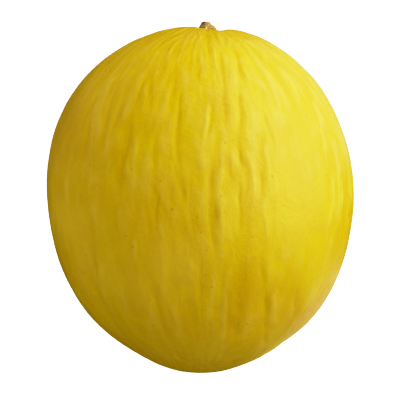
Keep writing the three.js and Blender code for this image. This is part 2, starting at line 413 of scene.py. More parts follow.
def wrinkle_relief(turn, height, length, radius):
    """Wrinkles in five sizes, then lumps in three, which are stronger just right of the front."""
    wander = noise_sum(turn, length, WANDER)
    strength = 0.8 + 0.5 * rind_noise(turn, length, 6, 50.0, seed=5)
    relief = np.zeros_like(turn)
    for number, (cells, cell_length, amount) in enumerate(WRINKLES):
        noise = rind_noise(turn + wander, length, cells, cell_length, seed=10 + number)
        relief += amount * (noise - HOLLOW_BIAS * np.abs(noise)) * room(radius, cells)
    relief = relief * strength * quiet(turn, height)
    crinkled = 0.6 + 0.6 * one_side(turn, 14, 26) * bell(height - 96, 46)
    for number, (cells, cell_length, amount) in enumerate(LUMPS):
        lumps = rind_noise(turn, length, cells, cell_length, seed=60 + number)
        relief += amount * lumps * crinkled * room(radius, cells)
    return relief


# %% The ribs of the right side
# Each row: ribs round the fruit, their length and height in mm, then the area: turn, height and two reaches.
RIB_AREAS = [
    (104, 46.0, 0.24, 70, 108, 13, 52),
    (96, 30.0, 0.24, 44, 146, 26, 14),
    (120, 26.0, 0.16, 58, 30, 10, 14),
    (170, 34.0, 0.12, 48, 138, 20, 20),
]


def side_ribs(turn, height, length):
    """Thin straight ribs side by side, where the right side turns away."""
    relief = np.zeros_like(turn)
    for number, (cells, cell_length, amount, centre, middle, reach, tall) in enumerate(RIB_AREAS):
        near = one_side(turn, centre, reach) * bell(height - middle, tall)
        relief += amount * near * rind_noise(turn, length, cells, cell_length, seed=70 + number)
    return relief


# %% The pleats round the stalk
PLEATS = 44
PLEAT_HEIGHT = 0.24
PLEAT_SHARPNESS = 2.2  # more leaves narrower crests
PLEAT_WANDER = [(9, 20.0, 0.10, 20), (20, 8.0, 0.05, 22)]  # in radians


def pleat_relief(turn, length, radius):
    """Sharp little pleats that fan out from the stalk and fade over the shoulder."""
    wander = noise_sum(turn, length, PLEAT_WANDER)
    folded = 1 - PLEAT_SHARPNESS * np.abs(rind_noise(turn + wander, length, PLEATS, 15.0, seed=21))
    reach = smooth_step(radius, 4.0, 14.0) * (1 - smooth_step(radius, 22.0, 52.0))
    softer_left = 1 - 0.4 * one_side(turn, -62, 34) * smooth_step(radius, 16.0, 28.0)
    return PLEAT_HEIGHT * folded * reach * softer_left


# %% [markdown]
# ## The fruit's mesh
#
# The fruit is one closed skin. A subdivided cage would need a cage as dense as the folds, so the mesh is
# laid out directly: rings of points from the flat spot to the crown, each pushed along the skin's own
# direction by its relief. Folds run lengthwise, so the points of a ring stand closer, at 0.6 mm in front and
# 1.1 mm behind, than the rings, at 1.3 mm. That is fine enough for every fold, and the skin's grain is left
# to the material.

# %% Rings of points
TURNS = 540
RINGS = 182
CROWDING = 0.3  # how much closer than the average the points of a ring stand at the front
CHAMBERS, CHAMBER_HEIGHT, CHAMBER_TURN = 3, 0.45, 0.4  # the seed chambers show as three faint swellings
RIBS, RIB_HEIGHT, RIB_TURN = 10, 0.2, 0.15


def on_rings(values):
    """Gives all points of a ring the ring's value, and leaves out the two ends."""
    return np.repeat(values[1:-1, None], TURNS, axis=1)


path_radius, path_height, path_length = even_path(RINGS + 2)
slope_radius, slope_height = np.gradient(path_radius), np.gradient(path_height)
slope_size = np.hypot(slope_radius, slope_height)

even_turn = np.arange(TURNS) / TURNS * 2 * math.pi
ring_turn = even_turn - CROWDING * np.sin(even_turn)
turn = np.tile(ring_turn, (RINGS, 1))
radius, height, length = on_rings(path_radius), on_rings(path_height), on_rings(path_length)
out_radius, out_height = on_rings(slope_height / slope_size), on_rings(-slope_radius / slope_size)

body = smooth_step(height, 0, 20) * (1 - smooth_step(height, 130, 166))
broad = CHAMBER_HEIGHT * np.cos(CHAMBERS * (turn - CHAMBER_TURN))
broad += RIB_HEIGHT * np.cos(RIBS * (turn - RIB_TURN))
folds = fold_relief(turn, height, length, radius, HAND_SET_FOLDS + far_side_folds())
folds += wrinkle_relief(turn, height, length, radius) + pleat_relief(turn, length, radius)
folds += side_ribs(turn, height, length)
off_the_ground = smooth_step(height, 0.6, 9.0)
relief = body * broad + off_the_ground * folds
print(f"folds from {folds.min():.2f} to {folds.max():.2f} mm")

# %% Points in the object's frame
crown = smooth_step(height, WIDEST_LEVEL, WIDEST_LEVEL + 1)
away = radius + relief * out_radius
middle = lean_at(height) + crown * CROWN_SHIFT * bell(radius, CROWN_SHIFT_REACH)
points = np.stack([
    middle + away * np.sin(turn),
    -away * np.cos(turn),
    height + relief * out_height + crown * crown_rise(radius, turn),
], axis=-1)
crown_top = WIDEST_LEVEL + DOME_HEIGHT + crown_rise(0, 0)
foot_point = np.array([0.0, 0.0, 0.0])
crown_point = np.array([stalk_x, 0.0, crown_top])


# %% A closed mesh from rings
def put_in_scene(name, data):
    """An object for a mesh, a lamp or a camera."""
    thing = bpy.data.objects.new(name, data)
    bpy.context.scene.collection.objects.link(thing)
    return thing


def ring_mesh(name, rings, first, last):
    """A closed smooth mesh from rings of points in mm, from the bottom up, and a middle point at each end."""
    count, turns = rings.shape[0], rings.shape[1]
    vertices = np.concatenate([first[None], rings.reshape(-1, 3), last[None]]) * MM
    index = 1 + np.arange(count * turns).reshape(count, turns)
    right = np.roll(index, -1, axis=1)
    quads = np.stack([index[:-1], right[:-1], right[1:], index[1:]], axis=-1).reshape(-1, 4)
    bottom = np.stack([np.zeros(turns, int), right[0], index[0]], axis=-1)
    top = np.stack([np.full(turns, len(vertices) - 1), index[-1], right[-1]], axis=-1)
    mesh = bpy.data.meshes.new(name)
    mesh.from_pydata(vertices.tolist(), [], quads.tolist() + bottom.tolist() + top.tolist())
    mesh.shade_smooth()
    mesh.update()
    return put_in_scene(name, mesh)


fruit = ring_mesh("rind_and_flesh", points, foot_point, crown_point)
triangles = sum(len(face.vertices) - 2 for face in fruit.data.polygons)
print(f"{triangles} triangles, {[round(side / MM, 1) for side in fruit.dimensions]} mm")


# %% Values that the material reads
def point_values(piece, name, rings, first, last):
    """Stores one number, or one vector, for each point of a ring mesh."""
    flat = np.concatenate([np.atleast_1d(first), rings.reshape(-1), np.atleast_1d(last)])
    kind, slot = ("FLOAT", "value") if rings.ndim == 2 else ("FLOAT_VECTOR", "vector")
    attribute = piece.data.attributes.new(name, kind, "POINT")
    attribute.data.foreach_set(slot, flat.astype(np.float32))


def soften(values, round_steps, length_steps):
    """Blurs a grid of values round the fruit and along it."""
    for _ in range(round_steps):
        values = (np.roll(values, 1, 1) + 2 * values + np.roll(values, -1, 1)) / 4
    for _ in range(length_steps):
        values[1:-1] = (values[:-2] + 2 * values[1:-1] + values[2:]) / 4
    return values


FULL_FOLD = 0.26  # a fold this high or deep, in mm, gets the full colour
BLUR_ROUND, BLUR_ALONG = 160, 40  # steps that leave only forms broader than a fold
fold_height = np.clip((folds - soften(folds, BLUR_ROUND, BLUR_ALONG)) / FULL_FOLD, -1, 1)
point_values(fruit, "fold_height", fold_height, 0, 0)
along_rind = np.stack([np.sin(turn) * FRUIT_RADIUS, -np.cos(turn) * FRUIT_RADIUS, length], axis=-1)
point_values(fruit, "along_rind", along_rind, [0, 0, 0], [0, 0, path_length[-1]])
print(f"fold height {fold_height.min():.2f} to {fold_height.max():.2f}")

# %% Where the rind is deeper or paler
# Each row: turn in degrees, height in mm, reach in degrees and in mm, deeper (above 0) or paler (below 0).
# Some rows are painted shade, such as the deeper ones on the upper left edge, and some are painted light,
# such as the paler ones low on the left and on the lit cheek. The rest are the rind's own tone.
TONE_AREAS = [
    (-38, 145, 16, 20, -0.1), (-66, 124, 13, 22, 0.4), (-59, 122, 9, 16, 0.4), (-40, 110, 18, 12, 0.5),
    (3, 108, 6, 14, -0.6), (-62, 80, 16, 14, -0.5), (-50, 66, 12, 18, -0.3), (-8, 62, 14, 18, -0.55),
    (17, 57, 7, 16, 0.65), (-41, 32, 12, 10, 0.5), (-34, 46, 22, 20, -0.3), (-6, 17, 26, 12, -0.25),
    (16, 14, 18, 10, -0.3), (16, 140, 8, 14, 0.3), (-76, 122, 9, 18, 0.6), (60, 29, 13, 15, 0.8),
    (34, 78, 12, 16, -0.3), (26, 42, 16, 22, 0.45), (29, 97, 9, 28, -0.6), (50, 112, 9, 42, -0.25),
    (4, 152, 22, 14, -0.3), (10.5, 83, 2.8, 17, -0.75), (16.5, 84, 2.4, 10, 0.45), (5.3, 92, 2.4, 16, 0.5),
    (-1.5, 97, 3.5, 12, 0.35), (2.3, 91, 1.4, 12, -0.5), (-9.7, 102, 1.4, 10, -0.4), (11, 134, 3, 8, 0.9),
    (14, 147, 5, 7, 0.4), (11, 122, 3, 8, 0.4), (10, 150, 4, 6, 0.5), (0.5, 144, 2.6, 9, 0.5),
    (-7, 140, 4, 8, 0.4), (5, 137, 2.2, 6, 0.35), (18.5, 89, 2.2, 11, 0.5), (14.5, 36, 4, 16, 0.7),
    (8.6, 30, 1.6, 12, -0.2), (10.4, 41, 2.6, 14, 0.45), (41, 44, 8, 14, 0.5), (48, 30, 8, 8, 0.6),
    (5.6, 84, 2, 3.4, 0.5), (38.5, 117, 2.2, 3, 0.4), (64, 47.5, 2.6, 4, 0.5), (68, 55, 2.6, 4, 0.4),
]


def tone_and_painted_shading(turn, height):
    """How much deeper or paler than the rest the rind is painted, from -1 to 1: partly its own tone, partly
    painted shade and light. The far side gets random clouds.
    """
    far_side = smooth_step(np.abs(np.sin(turn / 2)), 0.55, 0.75)
    tone = 0.5 * rind_noise(turn, height, 7, 40.0, seed=40) * far_side
    for *where, amount in TONE_AREAS:
        tone += amount * area(turn, height, *where)
    return np.clip(tone, -1, 1)


point_values(fruit, "tone", tone_and_painted_shading(turn, height), 0, 0)

# %% [markdown]
# ## The specks
#
# A ripe rind has a few dozen brown specks, each under a millimetre: healed pores and tiny scratches. They
# are smaller than the mesh's faces, so painting the points would blur them. Each point stores instead the
# way to its nearest speck, counted in that speck's own sizes. This is a straight-line measure, so it stays
# exact between the points, and the material can draw a crisp spot of any size from it.

# %% Where the specks are
# Each row: turn in degrees, height in mm, size in mm.
HAND_SET_SPECKS = [
    (6.3, 122.3, 0.62), (7.7, 120, 0.45), (9.3, 115.6, 0.62), (12.6, 117, 0.45), (13.2, 104.5, 0.4),
    (7.8, 101.3, 0.45), (7, 92, 0.5), (30.5, 87, 0.5), (26.1, 100.4, 0.7), (26.5, 91.5, 0.4),
    (-14, 98.8, 0.6), (-24.8, 103.8, 0.55), (-10.7, 108.7, 0.45), (-11, 115, 0.4), (-29, 150.3, 0.6),
    (-22.3, 157.5, 0.8), (-43.8, 104.5, 0.5), (-37.8, 113.8, 0.5), (-39.5, 96, 0.45), (-10, 86, 0.8),
    (-15.8, 77, 0.45), (5.2, 85.6, 0.4), (5.9, 83, 0.3), (-5.5, 77, 0.4), (-1.3, 82.5, 0.6), (-4, 80, 0.4),
    (-2.7, 77.3, 0.4), (-0.2, 75.8, 0.5), (1.8, 67.5, 0.55), (1.5, 56, 0.5), (4, 50.3, 0.75),
    (18.2, 73.3, 0.65), (15, 74, 0.45), (29.8, 46.7, 0.5), (31, 80.5, 0.45), (19.2, 64, 0.5), (21, 31, 0.6),
    (25, 29.5, 0.45), (45, 41.2, 0.6), (34, 99.5, 0.4), (-27.7, 73, 0.55), (-25.2, 68.3, 0.7),
    (-49, 62, 0.5), (-48, 38.3, 0.7), (-57.5, 36.5, 0.7), (-51.5, 28.5, 0.7), (-35, 15.3, 0.6),
    (-53.5, 53.3, 0.6), (-23.7, 29.8, 0.6), (47.6, 126.5, 0.65), (54.4, 121.3, 0.65), (48.5, 115, 0.6),
    (51.7, 113.3, 0.5), (53, 99, 0.75), (50.6, 99.5, 0.45), (54, 96.5, 0.5), (62.2, 124, 0.6),
    (43.5, 92.5, 0.5), (40.2, 90, 0.45), (37, 91, 0.45), (52.9, 147.5, 0.7), (8, 140, 0.4),
]
FAR_SPECKS = 150
FAR_SPANS = [(72, 298), (12, 160), (0.3, 0.75)]  # of their turns, heights and sizes
FARTHEST = 40  # in a speck's own sizes: no point counts a speck as farther away than this


def speck_points():
    """Every speck's turn in radians, height and size: first the listed ones, then the far side's."""
    rng = np.random.default_rng(11)
    far = np.stack([rng.uniform(*span, FAR_SPECKS) for span in FAR_SPANS], axis=-1)
    every = np.concatenate([np.array(HAND_SET_SPECKS), far])
    return np.radians(every[:, 0]), every[:, 1], every[:, 2]


def way_to_speck(turn, length):
    """For every point, the way to the nearest speck: across, along and out, in that speck's own sizes."""
    nearest = np.full(turn.shape, 1e9)
    way = np.zeros((*turn.shape, 3))
    along_skin = length_along(path_radius, path_height)
    for speck_turn, speck_height, size in zip(*speck_points()):
        speck_length = np.interp(speck_height, path_height, along_skin)
        speck_radius = np.interp(speck_height, path_height, path_radius)
        across = angle_from(turn, speck_turn) * speck_radius
        along = length - speck_length
        distance = np.hypot(across, along)
        closer = distance < nearest
        nearest = np.where(closer, distance, nearest)
        way[closer] = np.stack([across, along, np.zeros_like(across)], axis=-1)[closer] / size
    return np.clip(way, -FARTHEST, FARTHEST)


point_values(fruit, "to_speck", way_to_speck(turn, length), [FARTHEST, 0, 0], [FARTHEST, 0, 0])
print(len(speck_points()[0]), "specks")

# %% [markdown]
# ## Small tools for materials
#
# A node material is easier to read as lines of text when one call adds a node, fills in its named inputs
# and links those that are other nodes' outputs. A socket knows its tree, so most of these calls need only
# sockets and numbers. Effects that both finishes share are node groups: a grain that is long one way, and
# ragged patches.


# %% Adding and linking nodes
def is_output(value):
    """Whether a value is a node's output."""
    return isinstance(value, bpy.types.NodeSocket)


def connect(node, **inputs):
    """Fills in sockets by name, or by number as in _0, each with a value or with another node's output."""
    for name, value in inputs.items():
        socket = node.inputs[int(name[1:]) if name[0] == "_" else name.replace("_", " ")]
        if is_output(value):
            node.id_data.links.new(value, socket)
        else:
            socket.default_value = value
    return node


def add(tree, kind, settings=None, **inputs):
    """Adds a ShaderNode of a kind. settings are its properties, and inputs are its sockets."""
    node = tree.nodes.new("ShaderNode" + kind)
    for name, value in (settings or {}).items():
        setattr(node, name, value)
    return connect(node, **inputs)


def math_node(operation, *values):
    """The result of a Math node."""
    tree = next(value.id_data for value in values if is_output(value))
    inputs = {f"_{number}": value for number, value in enumerate(values)}
    return add(tree, "Math", {"operation": operation}, **inputs).outputs[0]


def times(*values):
    """The product of two values."""
    return math_node("MULTIPLY", *values)


def scaled(value, size, start):
    """The value times the size, plus the start."""
    return math_node("MULTIPLY_ADD", value, size, start)


def blend(share, before, after, mode="MIX"):
    """Mixes two colours, each a value or an output."""
    before, after = (colour if is_output(colour) else (*colour, 1) for colour in (before, after))
    settings = {"data_type": "RGBA", "blend_type": mode}
    return add(share.id_data, "Mix", settings, _0=share, _6=before, _7=after).outputs[2]


def ramp(value, low, high):
    """0 below low, 1 above high, easing between."""
    return add(value.id_data, "MapRange", {"interpolation_type": "SMOOTHSTEP"}, Value=value,
               From_Min=low, From_Max=high).outputs["Result"]


def separate(vector):
    """The three parts of a vector."""
    return add(vector.id_data, "SeparateXYZ", Vector=vector).outputs


def distance_to(place, point):
    """How far each place on the surface is from a point, in metres."""
    settings = {"operation": "DISTANCE"}
    return add(place.id_data, "VectorMath", settings, _0=place, _1=point).outputs["Value"]


def stored(tree, name, kind="Fac"):
    """A value that the mesh's points hold."""
    return add(tree, "Attribute", {"attribute_name": name}).outputs[kind]


def new_group(name, **numbers):
    """A node group that turns a vector and some numbers into a value. Returns its tree and both ends."""
    tree = bpy.data.node_groups.new(name, "ShaderNodeTree")
    tree.interface.new_socket("Vector", in_out="INPUT", socket_type="NodeSocketVector")
    for label, default in numbers.items():
        label = label.replace("_", " ")
        socket = tree.interface.new_socket(label, in_out="INPUT", socket_type="NodeSocketFloat")
        socket.default_value = default
    tree.interface.new_socket("Value", in_out="OUTPUT", socket_type="NodeSocketFloat")
    return tree, tree.nodes.new("NodeGroupInput").outputs, tree.nodes.new("NodeGroupOutput")


def use_group(tree, group, **inputs):
    """Places a node group in a material and returns its value."""
    return add(tree, "Group", {"node_tree": group}, **inputs).outputs["Value"]


def new_material(name):
    """A new node material. Returns it, its tree and its Principled shader."""
    material = bpy.data.materials.new(name)
    material.use_nodes = True
    return material, material.node_tree, material.node_tree.nodes["Principled BSDF"]


# %% The lengthwise grain group
def make_grain_group():
    """Fibres of plant skin: noise that is long one way. It gives a value from 0 to 1."""
    tree, given, result = new_group("Lengthwise grain", Across_mm=2.0, Along_mm=12.0, Detail=3.0)
    across = math_node("DIVIDE", 1.0, given["Across mm"])
    along = math_node("DIVIDE", 1.0, given["Along mm"])
    scale = add(tree, "CombineXYZ", X=across, Y=across, Z=along).outputs[0]
    settings = {"operation": "MULTIPLY"}
    place = add(tree, "VectorMath", settings, _0=given["Vector"], _1=scale).outputs[0]
    noise = add(tree, "TexNoise", Vector=place, Scale=1.0, Detail=given["Detail"],
                Roughness=0.55).outputs[0]
    connect(result, Value=noise)
    return tree


grain_group = make_grain_group()


# %% The patches group
def make_patch_group():
    """Patches with ragged but fairly crisp borders, as ripening leaves them. It gives a value from 0 to 1."""
    tree, given, result = new_group("Patches", Size_mm=20.0, Detail=5.0, Crispness=0.5)
    per_metre = math_node("DIVIDE", 1000.0, given["Size mm"])
    noise = add(tree, "TexNoise", Vector=given["Vector"], Scale=per_metre, Detail=given["Detail"],
                Roughness=0.58, Distortion=0.5).outputs[0]
    soft = ramp(noise, 0.32, 0.68)
    crisp = times(math_node("ADD", ramp(noise, 0.425, 0.455), ramp(noise, 0.535, 0.565)), 0.5)
    mixed = add(tree, "Mix", {"data_type": "FLOAT"}, Factor=given["Crispness"], A=soft, B=crisp)
    connect(result, Value=mixed.outputs[0])
    return tree


patch_group = make_patch_group()
print("node groups:", [group.name for group in (grain_group, patch_group)])

# %% [markdown]
# ## The rind's finish
#
# The rind is golden yellow and waxy. Its colour drifts between lemon and gold in soft clouds of several
# sizes, and in fine lengthwise streaks; some listed patches among them are painted shade and light. Ridges
# are paler, partly in their own colour and partly as a painted sheen of the softbox that is strongest high up
# and on the right, and hollows are a little deeper, partly as painted shade. The skin round the stalk is a
# deeper gold with a brown rim, an orange flush lies low on the right, and the smooth cheek above it carries a
# painted highlight of the softbox. Specks dot the rind, and the blossom left a round cork scar underneath.
#
# The wax gives a soft gloss that shows the lamp as a pale field with blurred edges. The gloss is broken by
# a leathery grain finer than a millimetre, which is a bump, and its roughness changes from cloud to cloud.

# %% The rind's colours
LEMON = (0.86, 0.620, 0.002)
GOLD = (0.83, 0.565, 0.0)
DEEP_GOLD = (0.75, 0.460, 0.0)
HOLLOW_GOLD_AND_SHADE = (0.79, 0.535, 0.0)
PALE = (0.94, 0.690, 0.078)
PALE_TONE_AND_LIGHT = (0.95, 0.690, 0.042)
DEEP_TONE_AND_SHADE = (0.73, 0.475, 0.0)
# painted sheen: the softbox's reflection on the wax, put into the colour
PAINTED_SHEEN = (0.01, 0.015, 0.070)  # is added to the colour, not mixed in
BLUSH = (0.80, 0.450, 0.025)
SPECK_BROWN = (0.50, 0.19, 0.0)
CORK = (0.40, 0.22, 0.060)
PALE_CORK = (0.60, 0.42, 0.17)

# %% Where the rind changes
STALK_PLACE = Vector((stalk_x, 0, crown_top)) * MM
BLOSSOM_PLACE = (0.0, 0.0, 0.0)
BLUSH_PLACE = (0.060, -0.012, 0.030)
# the middle of a painted highlight of the softbox on the smooth cheek
CHEEK_PLACE = (0.044, -0.059, 0.102)
CLOUDS = [(30.0, 6.0, 0.3), (9.0, 6.0, 0.6), (2.4, 3.0, 0.3)]  # each: size in mm, detail, crispness
GRAIN_HEIGHT = 0.0003
ROUGHNESS = 0.27
GLOSS = 0.36


# %% The rind's layers
def fold_shares(place, fold, streaks):
    """Where the painted sheen on the ridges and their paler colour lie: more of both high up and on the
    right, where the softbox shines.
    """
    sideways, _, level = separate(place)
    high_up = scaled(ramp(level, 0.070, 0.150), 0.85, 0.15)
    to_the_right = scaled(ramp(sideways, -0.03, 0.03), 1.7, 0.4)
    ridges = times(times(ramp(fold, -0.2, 0.8), high_up), to_the_right)
    painted_sheen = times(ridges, scaled(ramp(streaks, 0.4, 0.6), 0.6, 0.4))
    # The ridges' paler colour is partly their own and partly painted sheen, with more of it high up and on
    # the right.
    paler = scaled(ramp(level, 0.030, 0.090), 0.18, 0.32)
    paler = times(paler, scaled(to_the_right, 0.25, 0.60))
    return painted_sheen, times(ramp(fold, 0.1, 1.0), paler)


def rind_layers(tree, place, middle, mottle, streaks, leather):
    """The layers over the gold, from the bottom up: where each lies, its tint, and ADD where it adds."""
    fold, tone = stored(tree, "fold_height"), stored(tree, "tone")
    painted_sheen, paler = fold_shares(place, fold, streaks)
    cheek = ramp(distance_to(place, CHEEK_PLACE), 0.050, 0.012)
    streaky = scaled(ramp(separate(place)[2], 0.120, 0.158), 0.28, 0.14)  # more of them near the crown
    blush = ramp(distance_to(place, BLUSH_PLACE), 0.034, 0.010)
    from_stalk = scaled(streaks, 0.006, distance_to(place, STALK_PLACE))
    from_blossom = scaled(middle, 0.003, distance_to(place, BLOSSOM_PLACE))
    cork = blend(ramp(mottle, 0.3, 0.9), CORK, PALE_CORK)
    from_speck = distance_to(stored(tree, "to_speck", "Vector"), (0.0, 0.0, 0.0))
    return [
        (times(middle, 0.22), DEEP_GOLD),
        (times(mottle, 0.14), DEEP_GOLD),
        # painted sheen of the softbox on the ridges
        (painted_sheen, PAINTED_SHEEN, "ADD"),
        # painted highlight of the softbox on the cheek
        (times(cheek, 0.35), PAINTED_SHEEN, "ADD"),
        # paler ridges: partly their own colour, partly painted sheen
        (paler, PALE),
        # deeper hollows: partly their own gold, partly painted shade in the folds
        (times(ramp(fold, -0.1, -1.0), 0.60), HOLLOW_GOLD_AND_SHADE),
        (times(ramp(streaks, 0.50, 0.66), streaky), PALE),
        (times(ramp(streaks, 0.48, 0.34), streaky), DEEP_GOLD),
        # deeper and paler patches: partly the rind's own tone, partly painted shade and painted light
        (ramp(tone, 0.0, 1.2), DEEP_TONE_AND_SHADE),
        (ramp(tone, 0.0, -1.2), PALE_TONE_AND_LIGHT),
        (times(blush, 0.6), BLUSH),
        (times(ramp(from_stalk, 0.050, 0.012), 0.55), DEEP_GOLD),
        (times(ramp(from_stalk, 0.0160, 0.0095), 0.6), CORK),
        (times(ramp(from_blossom, 0.0090, 0.0056), 0.8), cork),
        (times(ramp(scaled(leather, 0.6, from_speck), 1.4, 0.65), 0.36), SPECK_BROWN),
    ]


# %% The rind's material
def make_rind():
    """The rind's colour in layers, then its grain and its gloss."""
    material, tree, shader = new_material("waxy_yellow_rind")
    place = add(tree, "TexCoord").outputs["Object"]
    along = stored(tree, "along_rind", "Vector")
    broad, middle, mottle = (
        use_group(tree, patch_group, Vector=place, Size_mm=size, Detail=detail, Crispness=crispness)
        for size, detail, crispness in CLOUDS)
    streaks = use_group(tree, grain_group, Vector=along, Across_mm=4.5, Along_mm=24.0, Detail=5.0)
    leather = add(tree, "TexNoise", Vector=place, Scale=1400.0, Detail=3.0, Roughness=0.6)
    leather = leather.outputs[0]

    colour = blend(broad, GOLD, LEMON)
    for share, tint, *mode in rind_layers(tree, place, middle, mottle, streaks, leather):
        colour = blend(share, colour, tint, *mode)

    height = scaled(streaks, 0.5, math_node("ADD", times(leather, 0.5), times(mottle, 0.5)))
    bump = add(tree, "Bump", Strength=0.42, Distance=GRAIN_HEIGHT, Height=height).outputs[0]
    roughness = math_node("ADD", scaled(middle, 0.10, times(mottle, 0.08)), ROUGHNESS)
    connect(shader, Base_Color=colour, Roughness=roughness, Normal=bump, Specular_IOR_Level=GLOSS)
    return material


rind = make_rind()
fruit.data.materials.append(rind)
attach(fruit, "root")
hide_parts("melon_fruit")
print("rind nodes:", len(rind.node_tree.nodes))

# %% [markdown]
# ## The stalk stub
#
# The stub is what the vine left behind: a dry, corky knob 9 mm across its foot and half as high. Its left
# side slopes straight up, its right side has a ledge half way, where the stalk let go first, and its top is
# blunt and broken. It is too small for sculpting to be worth while, so it is rings of points again, with
# the ledge, a few strands and a crumbly surface added to the distance from its middle.

# %% The stub's mesh
STUB_FOOT = (4.6, 4.1)  # how far the foot reaches to the left and to the right of the stalk's middle, in mm
STUB_TOP = (2.7, 1.6)  # and the top
STUB_TAPER = 2.0  # 1 is a straight cone, and more keeps the foot wide for longer
STUB_HEIGHT = 4.2
STUB_SINK = 0.9  # how far its foot goes down into the dimple
STUB_ROUNDING = 0.7  # how far its top bulges
STUB_SIDE = 0.8  # this share of the rings makes its side, and the rest its top
STUB_LEDGE, STUB_NOTCH = 0.85, 0.15  # how far the ledge on the right stands out, and the cut above it goes in
STUB_STRANDS = [(5, 1.2, 0, 0.16), (13, 2, 2, 0.10)]  # each: strands round it, twist, start, height in mm
STUB_CRUMBS = [(14, 7.0, 0.14, 30), (36, 3.0, 0.07, 31)]
STUB_TURNS = 128
STUB_RINGS = 84

round_stub = np.arange(STUB_TURNS) / STUB_TURNS * 2 * math.pi
stub_turn, stub_up = np.meshgrid(round_stub, np.linspace(0, 1, STUB_RINGS))


def stub_points():
    """The stub's rings, in mm: a tapered side, then a top that closes over."""
    rise = np.minimum(stub_up / STUB_SIDE, 1)
    over = np.clip((stub_up - STUB_SIDE) / (1 - STUB_SIDE), 0, 1) * math.pi / 2
    rightness = (1 + np.sin(stub_turn)) / 2
    left, right = (foot + (top - foot) * rise**STUB_TAPER for foot, top in zip(STUB_FOOT, STUB_TOP))
    side = left + (right - left) * rightness
    ledge = STUB_LEDGE * rightness**3 * (smooth_step(rise, 0.05, 0.45) - smooth_step(rise, 0.62, 0.85))
    notch = STUB_NOTCH * rightness**3 * bell(rise - 0.90, 0.08)
    strands = sum(size * np.cos(count * stub_turn + start + twist * rise)
                  for count, twist, start, size in STUB_STRANDS)
    crumbs = noise_sum(stub_turn, stub_up * 60, STUB_CRUMBS)
    reach = (side + strands + ledge - notch + crumbs) * np.cos(over) ** 0.8
    up = -STUB_SINK + (STUB_HEIGHT + STUB_SINK - STUB_ROUNDING) * rise + STUB_ROUNDING * np.sin(over)
    up += (crumbs * 1.6 - 0.10 * reach * np.sin(stub_turn - 0.4)) * smooth_step(rise, 0.8, 1.0)
    across, forward = stalk_x + reach * np.sin(stub_turn), -reach * np.cos(stub_turn)
    return np.stack([across, forward, crown_top + up], axis=-1)


stub_rings = stub_points()[:-1]
stub = ring_mesh("corky_stub", stub_rings, stub_rings[0].mean(axis=0), stub_rings[-1].mean(axis=0))
STUB_ROUND, STUB_LONG = 4, 7  # its usual radius and its length over the surface, in mm, for the material
along_stub = [np.sin(stub_turn) * STUB_ROUND, -np.cos(stub_turn) * STUB_ROUND, stub_up * STUB_LONG]
point_values(stub, "along_stub", np.stack(along_stub, axis=-1)[:-1], [0, 0, 0], [0, 0, STUB_LONG])
print(f"stub {[round(side / MM, 1) for side in stub.dimensions]} mm")

# %% [markdown]
# ## The stub's finish
#
# The lower half of the stub is still waxy skin, golden tan and a little shiny, and darker amber at its foot
# as painted shade where it meets the fruit. Above it the cork is dry, in crumbs with painted shade in the
# gaps between them, pinkish on the left and cream on the right. Its left edge is darker, and a painted glint
# sits on the front.
# So the material is layers by height and side, and the crumbs' noise breaks up the lines where they meet.

# %% The stub's material
STUB_GOLD = (0.62, 0.44, 0.120)
STUB_AMBER = (0.50, 0.34, 0.075)
STUB_PINK = (0.56, 0.37, 0.18)
STUB_CREAM = (0.57, 0.39, 0.16)
STUB_UMBER = (0.150, 0.095, 0.050)
GLINT_WHITE = (0.90, 0.86, 0.70)
GLINT_PLACE = (-0.0004, 0.0019)  # a painted glint on the front: right of the middle and up, in metres
GLINT_NEAR, GLINT_FAR = 0.4e-7, 2.4e-7  # it fades between these squared distances
STUB_ROUGHNESS, CORK_ROUGHNESS = 0.33, 0.45  # the cork's comes on top of the skin's


def make_stub_finish():
    """Waxy skin below, dry cork above, a darker left edge and a painted glint."""
    material, tree, shader = new_material("dry_corky_stalk")
    place = add(tree, "TexCoord").outputs["Object"]
    along = stored(tree, "along_stub", "Vector")
    strands = use_group(tree, grain_group, Vector=along, Across_mm=0.8, Along_mm=3.0, Detail=4.0)
    crumbs = use_group(tree, patch_group, Vector=place, Size_mm=1.0, Detail=4.0, Crispness=0.4)
    sideways, forward, level = separate(place)
    rise = math_node("SUBTRACT", level, crown_top * MM)
    rise = scaled(crumbs, 0.0009, rise)
    right = math_node("SUBTRACT", sideways, stalk_x * MM)

    skin = blend(ramp(strands, 0.42, 0.62), STUB_AMBER, STUB_GOLD)
    # darker amber at the foot, where the stub meets the fruit: painted shade
    skin = blend(ramp(rise, 0.0004, -0.0006), skin, STUB_AMBER)
    # umber in the gaps between the crumbs, where the bump is lowest: painted shade
    cork = blend(ramp(crumbs, 0.30, 0.05), STUB_PINK, STUB_UMBER)
    cork = blend(ramp(right, -0.0004, 0.0008), cork, STUB_CREAM)
    dry = ramp(rise, 0.0024, 0.0033)
    # darker towards the left edge
    toward_left_edge = ramp(scaled(right, -1.0, times(rise, 0.45)), 0.0028, 0.0038)
    dark = times(toward_left_edge, ramp(crumbs, 0.95, 0.35))
    colour = blend(times(dark, 0.5), blend(dry, skin, cork), STUB_UMBER)

    away = [math_node("SUBTRACT", way, middle) for way, middle in zip((right, rise), GLINT_PLACE)]
    squares = [times(way, way) for way in away]
    # painted glint: a small white highlight on the front of the stub
    painted_glint = times(ramp(math_node("ADD", *squares), GLINT_FAR, GLINT_NEAR), ramp(forward, 0.0, -0.001))
    colour = blend(painted_glint, colour, GLINT_WHITE)

    height = scaled(strands, 0.8, crumbs)
    bump = add(tree, "Bump", Strength=0.7, Distance=GRAIN_HEIGHT, Height=height).outputs[0]
    connect(shader, Base_Color=colour, Roughness=scaled(dry, CORK_ROUGHNESS, STUB_ROUGHNESS), Normal=bump)
    return material


